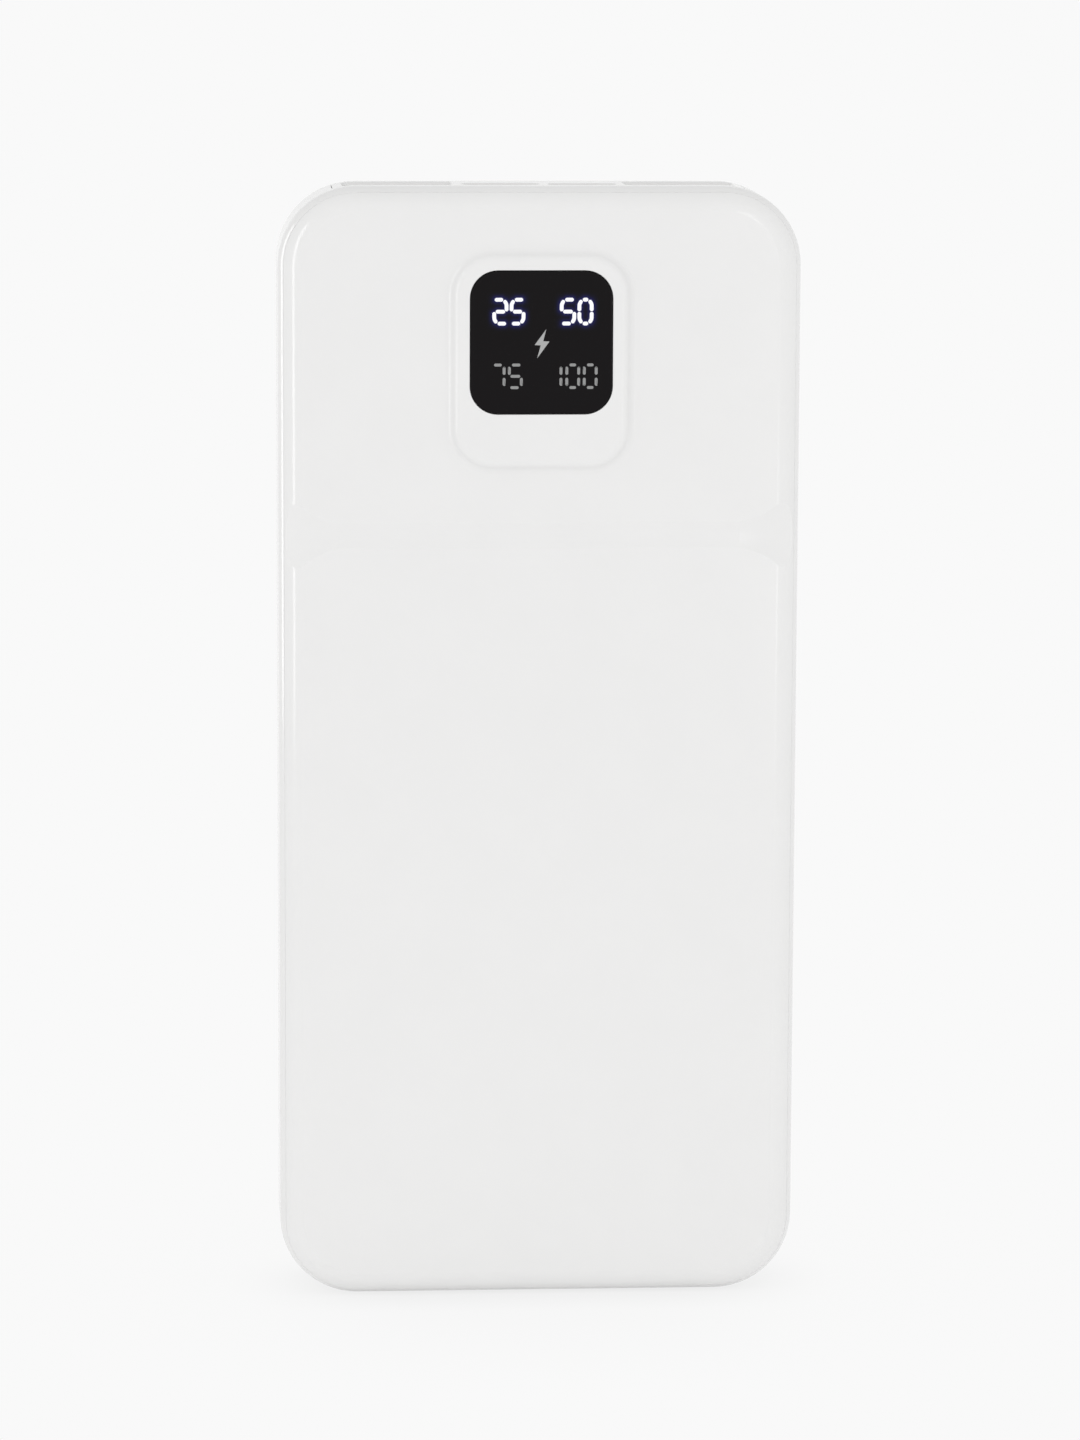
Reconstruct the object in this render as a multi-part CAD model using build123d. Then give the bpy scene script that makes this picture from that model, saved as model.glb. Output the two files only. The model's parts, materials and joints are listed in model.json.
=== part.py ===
from build123d import *
import math
import os

# A pocket power bank, standing on its short bottom edge, in millimetres.
# X runs across the front, -Y is the way the front faces, and Z runs up.
# The origin is at the centre of the bottom edge, midway between the two covers.

os.makedirs("parts", exist_ok=True)

# ---------------------------------------------------------------- casing
body_width = 66.5
body_height = 143.5
body_depth = 16.0
corner_radius = 10.0
edge_radius = 3.0
frame_wall = 1.6
cover_thickness = 1.5
parting_depth = 1.1
seam_height = 0.06
seam_depth = 0.15
cover_fit = 0.1
skirt_height = 1.6
skirt_wall = 0.9

# ---------------------------------------------------------------- snaps between covers and frame
snap_length = 8.0
snap_reach = 0.3
snap_height = 0.6
snap_clearance = 0.08
side_snap_heights = [30.0, 75.0]

# ---------------------------------------------------------------- finger groove and its scoops
groove_drop = 44.2
groove_width = 3.2
groove_depth = 0.2
groove_end = 25.5
scoop_middle_reach = 28.5
scoop_middle_width = 5.2
scoop_middle_depth = 0.4
scoop_reach = 32.2
scoop_width = 12.3
scoop_depth = 0.88

# ---------------------------------------------------------------- display island and window
island_rise = 0.8
island_width = 22.3
island_height = 27.0
island_center_drop = 22.0
island_corner_radius = 5.0
island_slope_angle = 48.0
island_blend_radius = 1.1
window_width = 18.2
window_height = 18.3
window_center_drop = 19.55
window_corner_radius = 3.6
window_thickness = 1.0
window_gap = 0.08
window_edge_break = 0.15
window_ledge = 1.0
adhesive_thickness = 0.15
light_frame_fit = 0.12

# ---------------------------------------------------------------- gauge
# Each lit field is (x, rise from the window's middle, width, height).
gauge_fields = [
    (-4.13, 3.95, 4.3, 3.4),
    (4.49, 3.95, 4.4, 3.4),
    (0.1, -0.1, 1.8, 3.5),
    (-4.2, -4.25, 3.9, 3.3),
    (4.75, -4.25, 5.1, 3.3),
]
well_margin = 0.3
led_length = 1.6
led_width = 0.8
led_height = 0.6

# ---------------------------------------------------------------- main board
board_thickness = 1.0
board_height = 26.6
board_side_gap = 0.5
board_top_gap = 0.5
boss_radius = 1.9
screw_side_inset = 4.85
screw_low_rise = 3.8
screw_top_drop = 4.2
screw_radius = 0.8
screw_head_radius = 1.5
screw_head_height = 1.0
screw_length = 4.0
screw_pilot_clearance = 0.02
screw_hole_clearance = 0.15
driver_slot_width = 0.4
driver_slot_depth = 0.45
driver_slot_length = 1.95

# ---------------------------------------------------------------- sockets
mouth_recess = 0.5
port_gap = 2.2
port_clearance = 0.15
port_lead_in = 0.45
port_lead_in_angle = 45.0
plate_side_margin = 1.6
plate_rail = 1.1
plate_corner_radius = 1.6
plate_fit = 0.08
plate_flange_reach = 0.5
plate_flange_thickness = 0.4
usb_a_opening_width = 12.5
usb_a_opening_height = 5.12
usb_a_sheet = 0.3
usb_a_depth = 14.0
usb_a_tongue_width = 11.1
usb_a_tongue_thickness = 1.84
usb_a_tongue_offset = 0.72
usb_a_tongue_tip = 1.4
usb_a_block_depth = 3.6
usb_a_leg_width = 2.0
usb_a_leg_reach = 0.5
usb_a_contact_width = 1.0
usb_a_contact_thickness = 0.2
usb_a_contact_pitches = [-3.5, -1.0, 1.0, 3.5]
contact_tip_gap = 0.6
usb_c_opening_width = 8.34
usb_c_opening_height = 2.56
usb_c_sheet = 0.3
usb_c_depth = 7.35
usb_c_tongue_width = 6.69
usb_c_tongue_thickness = 0.7
usb_c_tongue_tip = 0.9
usb_c_block_depth = 2.0
usb_c_contact_pitch = 0.5
usb_c_contact_count = 12
usb_c_contact_width = 0.25
usb_c_contact_thickness = 0.05
usb_c_contact_length = 3.2
micro_opening_width = 6.9
micro_opening_height = 1.85
micro_sheet = 0.3
micro_depth = 5.6
micro_chamfer = 0.7
micro_tongue_width = 3.7
micro_tongue_thickness = 0.6
micro_tongue_tip = 0.8
micro_block_depth = 1.6
micro_tongue_gap = 0.35
micro_contact_pitch = 0.65
micro_contact_count = 5
micro_contact_width = 0.35
micro_contact_length = 2.4
socket_fit = 0.02

# ---------------------------------------------------------------- side button and its switch
button_drop = 19.5
button_length = 8.0
button_width = 3.0
button_clearance = 0.12
button_travel = 0.3
button_flange_margin = 0.6
button_flange_thickness = 0.7
button_rest_gap = 0.05
button_edge_break = 0.25
button_post_length = 0.45
button_post_size = 1.6
dish_margin = 1.6
dish_depth = 0.35
switch_length = 4.6
switch_body_depth = 3.5
switch_thickness = 4.4
switch_wall = 0.5
plunger_length = 2.2
plunger_width = 1.2
plunger_flange_margin = 0.4
plunger_flange_thickness = 0.4
plunger_clearance = 0.06
plunger_reach = 0.7
terminal_width = 0.7
terminal_thickness = 0.2
terminal_foot = 0.9

# ---------------------------------------------------------------- parts soldered to the board
# Each place is (x, rise from the board's lower edge), with the size after it where it varies.
inductor_size = 6.6
inductor_height = 3.0
inductor_corner = 1.0
inductor_edge = 0.3
inductor_places = [(-8.5, 6.2), (0.0, 6.2)]
polymer_radius = 2.5
polymer_height = 5.5
polymer_base = 0.4
polymer_edge = 0.4
polymer_rim = 0.1
polymer_places = [(-15.5, 6.4), (-21.5, 6.4), (18.0, 6.4)]
chip_places = [(8.5, 6.7, 5.0, 5.0, 0.9), (-5.0, 15.7, 4.0, 4.0, 0.8), (5.0, 17.2, 3.0, 3.9, 1.2)]
chip_edge = 0.1
ceramic_length = 1.6
ceramic_width = 0.8
ceramic_height = 0.8
ceramic_row_start = -9.0
ceramic_row_pitch = 3.0
ceramic_row_count = 7
ceramic_row_rise = 11.5

# ---------------------------------------------------------------- cell and its protection board
cell_side_room = 1.65
cell_corner_radius = 3.0
cell_corner_gap = 0.3
cell_edge_radius = 2.2
cell_floor_gap = 0.4
cell_side_gap = 0.3
cell_board_gap = 0.9
cell_rib_width = 6.0
cell_rib_depth = 8.0
cell_rib_shares = [0.12, 0.45, 0.86]
adhesive_sheet_thickness = 0.3
adhesive_side_margin = 5.0
adhesive_end_margin = 7.3
foam_thickness = 1.7
foam_corner_radius = 2.0
foam_side_margin = 10.0
foam_end_margin = 13.3
terrace_height = 3.4
terrace_width = 56.0
terrace_thickness = 0.4
terrace_forward = 0.2
protection_length = 34.0
protection_height = 3.0
protection_thickness = 0.8
tab_width = 6.0
tab_thickness = 0.15
tab_spacing = 17.0
tab_loop = 0.5
lead_radius = 0.8
sensor_lead_radius = 0.45
lead_spacing = 26.0
lead_board_rise = 2.4
lead_start_above = 0.5
lead_bend_share = 0.45
protection_chip_places = [-2.9, 2.9]
protection_chip_size = 2.6
protection_chip_height = 0.8
sensor_offset = -15.6
sensor_length = 1.6
insulator_width = 48.0
insulator_height = 22.0
insulator_thickness = 0.2

# ---------------------------------------------------------------- margins of the construction
# bite: how far fused pieces run into each other. past: how far a cut runs past a surface.
bite = 0.1
past = 1.0
same_place = 0.001

# ---------------------------------------------------------------- levels worked out from the sizes above
front_y = -body_depth / 2
parting_y = front_y + parting_depth
cover_inner_y = front_y + cover_thickness
skirt_end_y = cover_inner_y + skirt_height
island_y = front_y - island_rise
window_back_y = island_y + window_thickness
film_back_y = window_back_y + adhesive_thickness
usb_a_width = usb_a_opening_width + 2 * usb_a_sheet
usb_a_height = usb_a_opening_height + 2 * usb_a_sheet
usb_c_width = usb_c_opening_width + 2 * usb_c_sheet
usb_c_height = usb_c_opening_height + 2 * usb_c_sheet
micro_width = micro_opening_width + 2 * micro_sheet
micro_height = micro_opening_height + 2 * micro_sheet
board_back_y = -usb_a_height / 2
board_front_y = board_back_y - board_thickness
cover_inset = frame_wall + cover_fit
cavity_half_width = body_width / 2 - frame_wall
board_half_width = cavity_half_width - board_side_gap
board_top = body_height - frame_wall - board_top_gap
board_bottom = board_top - board_height
mouth_height = body_height - mouth_recess
ports_width = 2 * usb_a_width + usb_c_width + micro_width + 3 * port_gap
usb_a_left_x = -ports_width / 2 + usb_a_width / 2
usb_a_right_x = -usb_a_left_x
usb_c_x = usb_a_left_x + usb_a_width / 2 + port_gap + usb_c_width / 2
micro_x = usb_c_x + usb_c_width / 2 + port_gap + micro_width / 2
usb_c_y = board_back_y + usb_c_height / 2
micro_y = board_back_y + micro_height / 2
board_mid_height = (board_bottom + board_top) / 2
groove_height = body_height - groove_drop
island_center_height = body_height - island_center_drop
window_center_height = body_height - window_center_drop
button_height_up = body_height - button_drop
screw_x = cavity_half_width - screw_side_inset
screw_heights = [board_bottom + screw_low_rise, board_top - screw_top_drop]
lead_board_height = board_bottom + lead_board_rise
cell_width = body_width - 2 * (frame_wall + cell_side_room)
corner_room = corner_radius - cover_inset - skirt_wall - cell_corner_radius - cell_corner_gap
corner_across = max(0, cell_width / 2 - cell_corner_radius - body_width / 2 + corner_radius)
cell_bottom = corner_radius - (corner_room**2 - corner_across**2) ** 0.5 - cell_corner_radius
cell_top = board_bottom - cell_board_gap - tab_loop - terrace_height
cell_length = cell_top - cell_bottom
cell_back_y = -cover_inner_y - adhesive_sheet_thickness
cell_front_y = cover_inner_y + foam_thickness
cell_mid_height = cell_bottom + cell_length / 2
terrace_front_y = (cell_front_y + cell_back_y) / 2 - terrace_forward
terrace_back_y = terrace_front_y + terrace_thickness
terrace_top = cell_top + terrace_height
protection_back_y = terrace_back_y + protection_thickness
protection_mid_height = cell_top + terrace_height / 2
flange_face_x = cavity_half_width - button_rest_gap
flange_inner_x = flange_face_x - button_flange_thickness
plunger_tip_x = flange_inner_x - button_post_length
switch_face_x = plunger_tip_x - plunger_reach
plunger_flange_x = switch_face_x - switch_wall - plunger_clearance
cavity_depth = plunger_flange_thickness + button_travel + 2 * plunger_clearance


# ---------------------------------------------------------------- drawing helpers
def facing(y):
    """A drawing plane across the body at depth y: its x is X and its y is Z."""
    return Plane(origin=(0, y, 0), x_dir=(1, 0, 0), z_dir=(0, -1, 0))


def slab(outline, y_front, y_back):
    """The outline, drawn in X and Z, filled from y_front back to y_back."""
    return extrude(facing(y_back) * outline, amount=y_back - y_front)


def box(x, y, z):
    """A box from its low and high X, Y and Z."""
    size = Box(x[1] - x[0], y[1] - y[0], z[1] - z[0])
    return Pos((x[0] + x[1]) / 2, (y[0] + y[1]) / 2, (z[0] + z[1]) / 2) * size


def block(x, z, width, height, y_front, y_back):
    """A box drawn by its middle across the front."""
    return box((x - width / 2, x + width / 2), (y_front, y_back), (z - height / 2, z + height / 2))


def body_outline(inset):
    """The body's outline, drawn in by inset."""
    sheet = RectangleRounded(body_width - 2 * inset, body_height - 2 * inset, corner_radius - inset)
    return Pos(0, body_height / 2) * sheet


def rounded(x, z, width, height, radius):
    """A rounded rectangle with its middle at x and z."""
    return Pos(x, z) * RectangleRounded(width, height, radius)


def window_outline(inset):
    return rounded(
        0,
        window_center_height,
        window_width - 2 * inset,
        window_height - 2 * inset,
        window_corner_radius - inset,
    )


def upright(outline, x, y, z_low, z_high):
    """An outline drawn in X and Y, filled from z_low up to z_high."""
    return extrude(Pos(x, y, z_low) * outline, amount=z_high - z_low)


def sideways(outline, x_low, x_high, y, z):
    """An outline drawn in Y and Z, filled from x_low to x_high."""
    plane = Plane(origin=(x_low, y, z), x_dir=(0, 1, 0), z_dir=(1, 0, 0))
    return extrude(plane * outline, amount=x_high - x_low)


def joined(pieces):
    """All the pieces fused into one."""
    whole = pieces[0]
    for piece in pieces[1:]:
        whole = whole + piece
    return whole


def group(pieces):
    """Separate solids that share one node."""
    solids = []
    for piece in pieces:
        solids.extend(piece.solids())
    return Compound(children=solids)


def edges_at_y(shape, y):
    return shape.edges().filter_by_position(Axis.Y, y - same_place, y + same_place)


# ---------------------------------------------------------------- casing
def rounded_body():
    """The whole outside of the slab, without the island."""
    body = slab(body_outline(0), front_y, -front_y)
    body = fillet(edges_at_y(body, front_y) + edges_at_y(body, -front_y), edge_radius)
    return body


def between(y_low, y_high):
    """A box wider than the body, between two depths."""
    return box((-body_width, body_width), (y_low, y_high), (-past, body_height + past))


def snap_places():
    """Where the covers clip to the frame: (x, z, along_x) with the snap's middle on the skirt."""
    places = []
    for height in side_snap_heights:
        places.append((body_width / 2 - cover_inset, height, False))
        places.append((cover_inset - body_width / 2, height, False))
    places.append((0, cover_inset, True))
    return places


def snap_bars(clearance):
    """The ridges on a cover's skirt, or their notches in the frame when given a clearance."""
    mid_y = skirt_end_y - snap_height
    reach = snap_reach + clearance
    half_height = snap_height / 2 + clearance
    half_length = snap_length / 2 + clearance
    bars = []
    for x, z, along_x in snap_places():
        if along_x:
            spans = (x - half_length, x + half_length), (z - reach, z + reach)
        else:
            spans = (x - reach, x + reach), (z - half_length, z + half_length)
        bars.append(box(spans[0], (mid_y - half_height, mid_y + half_height), spans[1]))
    return bars


def cover_blank():
    """The front cover's shell before its own features. The rear cover is its mirror image."""
    skin = rounded_body() & between(front_y - past, parting_y)
    plug = slab(body_outline(cover_inset), parting_y - bite, cover_inner_y)
    skirt = slab(body_outline(cover_inset), cover_inner_y - bite, skirt_end_y)
    skirt -= slab(body_outline(cover_inset + skirt_wall), cover_inner_y - past, skirt_end_y + past)
    shell = joined([skin, plug, skirt] + snap_bars(0))
    rim_inset = edge_radius - (edge_radius**2 - (edge_radius - parting_depth) ** 2) ** 0.5
    seam = slab(body_outline(-past), parting_y - seam_height, parting_y)
    seam -= slab(body_outline(rim_inset + seam_depth), parting_y - past, parting_y + past)
    return shell - seam


def island():
    """The raised display island, with its S-shaped sloping edge."""
    middle = rounded(0, island_center_height, island_width, island_height, island_corner_radius)
    slope_run = island_rise / tan_deg(island_slope_angle)
    foot = offset(middle, amount=slope_run / 2)
    taper = 90 - island_slope_angle
    return extrude(facing(front_y) * foot, amount=island_rise, taper=taper)


def tan_deg(angle):
    return math.tan(math.radians(angle))


def segment_face(x, width, depth):
    """The scoop's section at x: a shallow circular segment under a flat chord."""
    plane = Plane(origin=(x, front_y, groove_height), x_dir=(0, 0, 1), z_dir=(1, 0, 0))
    half = width / 2
    arc = ThreePointArc((-half, 0), (0, -depth), (half, 0))
    walls = Polyline((half, 0), (half, past), (-half, past), (-half, 0))
    return plane * make_face(Curve() + [arc, walls])


def scoop(side):
    """One end of the groove, where it widens and deepens towards the long edge."""
    beyond = scoop_reach + past
    growth = (beyond - scoop_middle_reach) / (scoop_reach - scoop_middle_reach)
    end_width = scoop_middle_width + (scoop_width - scoop_middle_width) * growth
    end_depth = scoop_middle_depth + (scoop_depth - scoop_middle_depth) * growth
    sections = [
        segment_face(side * groove_end, groove_width, groove_depth),
        segment_face(side * scoop_middle_reach, scoop_middle_width, scoop_middle_depth),
        segment_face(side * beyond, end_width, end_depth),
    ]
    return loft(sections)


def finger_groove():
    middle = extrude(segment_face(-groove_end, groove_width, groove_depth), amount=2 * groove_end)
    return [middle, scoop(1), scoop(-1)]


def screw_places():
    places = []
    for z in screw_heights:
        places.append((-screw_x, z))
        places.append((screw_x, z))
    return places


def screw_bosses():
    bosses = []
    for x, z in screw_places():
        bosses.append(slab(Pos(x, z) * Circle(boss_radius), cover_inner_y - bite, board_front_y))
    return bosses


def screw_pilots():
    pilots = []
    tip_y = board_back_y - screw_length
    for x, z in screw_places():
        hole = Circle(screw_radius + screw_pilot_clearance)
        pilots.append(slab(Pos(x, z) * hole, tip_y - screw_hole_clearance, board_front_y + past))
    return pilots


def front_cover():
    shell = cover_blank() + island()
    rim = edges_at_y(shell, island_y)
    shell = fillet(rim, island_blend_radius)
    foot = island_foot_edges(shell)
    shell = fillet(foot, island_blend_radius)
    for cut in finger_groove():
        shell -= cut
    shell -= slab(window_outline(0), island_y - past, film_back_y)
    shell -= slab(window_outline(window_ledge), island_y - past, cover_inner_y + past)
    shell = joined([shell] + screw_bosses())
    for pilot in screw_pilots():
        shell -= pilot
    return shell


def island_foot_edges(shell):
    """The edges where the island's slope meets the cover's flat face."""
    reach_x = island_width / 2 + island_rise + past
    reach_z = island_height / 2 + island_rise + past
    found = ShapeList()
    for edge in edges_at_y(shell, front_y):
        middle = edge.center()
        inside_x = abs(middle.X) < reach_x
        inside_z = abs(middle.Z - island_center_height) < reach_z
        if inside_x and inside_z:
            found.append(edge)
    return found


def rear_cover():
    return mirror(cover_blank(), about=Plane.XZ)


def port_outline(width, height, radius):
    gap = port_clearance
    return RectangleRounded(width + 2 * gap, height + 2 * gap, radius + gap)


def plate_outline(grow):
    """The port plate's outline, drawn in X and Y round the sockets."""
    width = ports_width + 2 * plate_side_margin + 2 * grow
    height = usb_a_height + 2 * (port_clearance + plate_rail) + 2 * grow
    return RectangleRounded(width, height, plate_corner_radius + grow)


def port_cut(outline, x, y):
    """A socket's mouth through the port plate, with a sloping lead-in at its top."""
    hole = upright(outline, x, y, board_top - past, body_height + past)
    start = Pos(x, y, body_height - port_lead_in)
    lead_in = extrude(start * outline, amount=port_lead_in + past, taper=-port_lead_in_angle)
    return hole + lead_in


def port_cuts():
    """The mouths of the four sockets."""
    usb_a = port_outline(usb_a_width, usb_a_height, usb_a_sheet)
    usb_c = port_outline(usb_c_width, usb_c_height, usb_c_height / 2 - same_place)
    micro = port_outline(micro_width, micro_height, micro_sheet)
    return [
        port_cut(usb_a, usb_a_left_x, 0),
        port_cut(usb_a, usb_a_right_x, 0),
        port_cut(usb_c, usb_c_x, usb_c_y),
        port_cut(micro, micro_x, micro_y),
    ]


def port_plate():
    """The plate in the frame's top wall that the sockets open through, with a flange behind the wall."""
    wall_inside = body_height - frame_wall
    face = upright(plate_outline(0), 0, 0, wall_inside - plate_flange_thickness, body_height)
    face &= slab(body_outline(0), front_y, -front_y)
    low = wall_inside - plate_flange_thickness
    flange = upright(plate_outline(plate_flange_reach), 0, 0, low, wall_inside)
    flange &= slab(body_outline(frame_wall + plate_fit), front_y, -front_y)
    plate = face + flange
    for cut in port_cuts():
        plate -= cut
    return plate


def pill(length, width):
    """A long round-ended outline, upright in Z when drawn in Y and Z."""
    return Rot(0, 0, 90) * SlotOverall(length, width)


def button_dish():
    """The shallow hollow in the frame's side that the button stands in."""
    width = button_width + 2 * dish_margin
    length = button_length + 2 * dish_margin
    side = body_width / 2
    dish = sideways(pill(length, width), side - dish_depth, side + past, 0, button_height_up)
    return dish


def button_hole():
    grown = pill(button_length + 2 * button_clearance, button_width + 2 * button_clearance)
    return sideways(grown, cavity_half_width - past, body_width / 2 + past, 0, button_height_up)


def cell_ribs():
    """Ribs on the frame's inside that keep the cell centred and off the floor."""
    inner = cell_width / 2 + cell_side_gap
    ribs = []
    for share in cell_rib_shares:
        z = cell_bottom + share * cell_length
        for side in (-1, 1):
            spans = sorted([side * inner, side * (cavity_half_width + bite)])
            half = cell_rib_width / 2
            ribs.append(box(spans, (-cell_rib_depth / 2, cell_rib_depth / 2), (z - half, z + half)))
    for x in (-cell_width / 4, cell_width / 4):
        spans = (x - cell_rib_width / 2, x + cell_rib_width / 2)
        depth = (-cell_rib_depth / 2, cell_rib_depth / 2)
        ribs.append(box(spans, depth, (frame_wall - bite, cell_bottom - cell_floor_gap)))
    return ribs


def mid_frame():
    band = rounded_body() & between(parting_y, -parting_y)
    band -= slab(body_outline(frame_wall), front_y, -front_y)
    wall_inside = body_height - frame_wall
    band -= upright(plate_outline(plate_fit), 0, 0, wall_inside - past, body_height + past)
    band -= button_dish()
    band -= button_hole()
    for bar in snap_bars(snap_clearance):
        band -= bar
        band -= mirror(bar, about=Plane.XZ)
    return joined([band] + cell_ribs())


# ---------------------------------------------------------------- display
def display_window():
    lens = slab(window_outline(window_gap), island_y, window_back_y)
    return fillet(edges_at_y(lens, island_y), window_edge_break)


def window_adhesive():
    ring = slab(window_outline(window_gap), window_back_y, film_back_y)
    return ring - slab(window_outline(window_ledge), island_y, film_back_y + past)


def gauge_cuts(margin, y_front, y_back):
    """One opening for each lit field of the gauge."""
    cuts = []
    for x, rise, width, height in gauge_fields:
        z = window_center_height + rise
        cuts.append(block(x, z, width + 2 * margin, height + 2 * margin, y_front, y_back))
    return cuts


def display_segment_film():
    inset = window_ledge + light_frame_fit
    film = slab(window_outline(inset), window_back_y, film_back_y)
    for cut in gauge_cuts(0, window_back_y - past, film_back_y + past):
        film -= cut
    return film


def display_light_frame():
    inset = window_ledge + light_frame_fit
    frame = slab(window_outline(inset), film_back_y, board_front_y)
    for cut in gauge_cuts(well_margin, film_back_y - past, board_front_y + past):
        frame -= cut
    return frame


def display_leds():
    lamps = []
    for x, rise, width, height in gauge_fields:
        z = window_center_height + rise
        spread = width / 4 if width > 2 * led_length else 0
        for place in sorted({x - spread, x + spread}):
            lamps.append(block(place, z, led_width, led_length, board_front_y - led_height, board_front_y))
    return group(lamps)


# ---------------------------------------------------------------- board, screws and what is soldered on
def usb_a_leg_places():
    places = []
    for socket_x in (usb_a_left_x, usb_a_right_x):
        for side in (-1, 1):
            places.append(socket_x + side * (usb_a_width - usb_a_sheet) / 2)
    return places


def usb_a_leg(x, clearance):
    """A leg of the socket's shell, which stands through the board."""
    width = usb_a_sheet + 2 * clearance
    height = usb_a_leg_width + 2 * clearance
    z = mouth_height - usb_a_depth / 2
    return block(x, z, width, height, board_front_y - usb_a_leg_reach, board_back_y + bite)


def main_board():
    board = slab(body_outline(frame_wall + board_side_gap), board_front_y, board_back_y)
    board &= between(front_y, -front_y) & box(
        (-board_half_width, board_half_width), (front_y, -front_y), (board_bottom, board_top)
    )
    for x, z in screw_places():
        hole = Circle(screw_radius + screw_hole_clearance)
        board -= slab(Pos(x, z) * hole, front_y, -front_y)
    for x in usb_a_leg_places():
        board -= usb_a_leg(x, screw_hole_clearance)
    return board


def board_screw(x, z):
    shank = slab(Pos(x, z) * Circle(screw_radius), board_back_y - screw_length, board_back_y)
    head_back = board_back_y + screw_head_height
    head = slab(Pos(x, z) * Circle(screw_head_radius), board_back_y, head_back)
    head = fillet(edges_at_y(head, head_back), screw_head_height / 3)
    screw = shank + head
    slot = driver_slot_length
    for width, height in ((slot, driver_slot_width), (driver_slot_width, slot)):
        screw -= block(x, z, width, height, head_back - driver_slot_depth, head_back + past)
    return screw


def board_screws():
    return group([board_screw(x, z) for x, z in screw_places()])


def power_inductors():
    blocks = []
    for x, rise in inductor_places:
        z = board_bottom + rise
        outline = rounded(x, z, inductor_size, inductor_size, inductor_corner)
        core = slab(outline, board_back_y, board_back_y + inductor_height)
        blocks.append(chamfer(edges_at_y(core, board_back_y + inductor_height), inductor_edge))
    return group(blocks)


def polymer_capacitors():
    cans = []
    for x, rise in polymer_places:
        z = board_bottom + rise
        base_back = board_back_y + polymer_base
        base = slab(rounded(x, z, 2 * polymer_radius, 2 * polymer_radius, polymer_edge), board_back_y, base_back)
        top = board_back_y + polymer_height
        can = slab(Pos(x, z) * Circle(polymer_radius - polymer_rim), base_back, top)
        can = fillet(edges_at_y(can, top), polymer_edge)
        cans.append(base + can)
    return group(cans)


def control_chips():
    chips = []
    for x, rise, width, height, thickness in chip_places:
        z = board_bottom + rise
        chip = block(x, z, width, height, board_back_y, board_back_y + thickness)
        chips.append(chamfer(edges_at_y(chip, board_back_y + thickness), chip_edge))
    return group(chips)


def ceramic_capacitors():
    chips = []
    for index in range(ceramic_row_count):
        x = ceramic_row_start + index * ceramic_row_pitch
        back = board_back_y + ceramic_height
        z = board_bottom + ceramic_row_rise
        chips.append(block(x, z, ceramic_length, ceramic_width, board_back_y, back))
    return group(chips)


# ---------------------------------------------------------------- full-size sockets
def usb_a_shell(x):
    low = mouth_height - usb_a_depth
    outline = RectangleRounded(usb_a_width, usb_a_height, usb_a_sheet)
    outer = upright(outline, x, 0, low, mouth_height)
    inner = Rectangle(usb_a_opening_width, usb_a_opening_height)
    outer -= upright(inner, x, 0, low - past, mouth_height + past)
    legs = []
    for side in (-1, 1):
        legs.append(usb_a_leg(x + side * (usb_a_width - usb_a_sheet) / 2, 0))
    return joined([outer] + legs)


def usb_a_contact_y():
    """The depth of the tongue's contact face, which looks towards the rear cover."""
    return -usb_a_opening_height / 2 + usb_a_tongue_offset + usb_a_tongue_thickness


def usb_a_contact(x):
    """One contact: the strip along the tongue, and the tail behind the block down to the board."""
    across = (x - usb_a_contact_width / 2, x + usb_a_contact_width / 2)
    face = usb_a_contact_y()
    lifted = face + usb_a_contact_thickness
    tip = mouth_height - usb_a_tongue_tip - contact_tip_gap
    back = mouth_height - usb_a_depth
    strip = box(across, (face, lifted), (back + usb_a_block_depth, tip))
    tail = box(across, (board_back_y, lifted), (back - usb_a_contact_thickness, back))
    return [strip, tail]


def usb_a_tongue(x):
    """The moulded block at the socket's back, with the tongue that carries the contacts."""
    back = mouth_height - usb_a_depth
    block_top = back + usb_a_block_depth
    outline = Rectangle(usb_a_opening_width - 2 * socket_fit, usb_a_opening_height - 2 * socket_fit)
    base = upright(outline, x, 0, back, block_top)
    face = usb_a_contact_y()
    half = usb_a_tongue_width / 2
    tip = mouth_height - usb_a_tongue_tip
    tongue = box((x - half, x + half), (face - usb_a_tongue_thickness, face), (block_top - bite, tip))
    return base + tongue


def usb_a_contacts(x):
    pieces = []
    for offset_x in usb_a_contact_pitches:
        pieces.extend(usb_a_contact(x + offset_x))
    return group(pieces)


# ---------------------------------------------------------------- reversible socket
def stadium(width, height):
    return SlotOverall(width, height)


def usb_c_shell():
    low = mouth_height - usb_c_depth
    outer = upright(stadium(usb_c_width, usb_c_height), usb_c_x, usb_c_y, low, mouth_height)
    inner = stadium(usb_c_opening_width, usb_c_opening_height)
    return outer - upright(inner, usb_c_x, usb_c_y, low - past, mouth_height + past)


def usb_c_tongue():
    low = mouth_height - usb_c_depth
    top = low + usb_c_block_depth
    outline = stadium(usb_c_opening_width - 2 * socket_fit, usb_c_opening_height - 2 * socket_fit)
    base = upright(outline, usb_c_x, usb_c_y, low, top)
    blade = Rectangle(usb_c_tongue_width, usb_c_tongue_thickness)
    return base + upright(blade, usb_c_x, usb_c_y, top - bite, mouth_height - usb_c_tongue_tip)


def usb_c_contacts():
    """Two rows of thin pads, one on each face of the tongue."""
    tip = mouth_height - usb_c_tongue_tip - contact_tip_gap
    span = (usb_c_contact_count - 1) * usb_c_contact_pitch
    pads = []
    for index in range(usb_c_contact_count):
        x = usb_c_x - span / 2 + index * usb_c_contact_pitch
        across = (x - usb_c_contact_width / 2, x + usb_c_contact_width / 2)
        for side in (-1, 1):
            face = usb_c_y + side * usb_c_tongue_thickness / 2
            depth = sorted([face, face + side * usb_c_contact_thickness])
            pads.append(box(across, depth, (tip - usb_c_contact_length, tip)))
    return group(pads)


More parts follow.
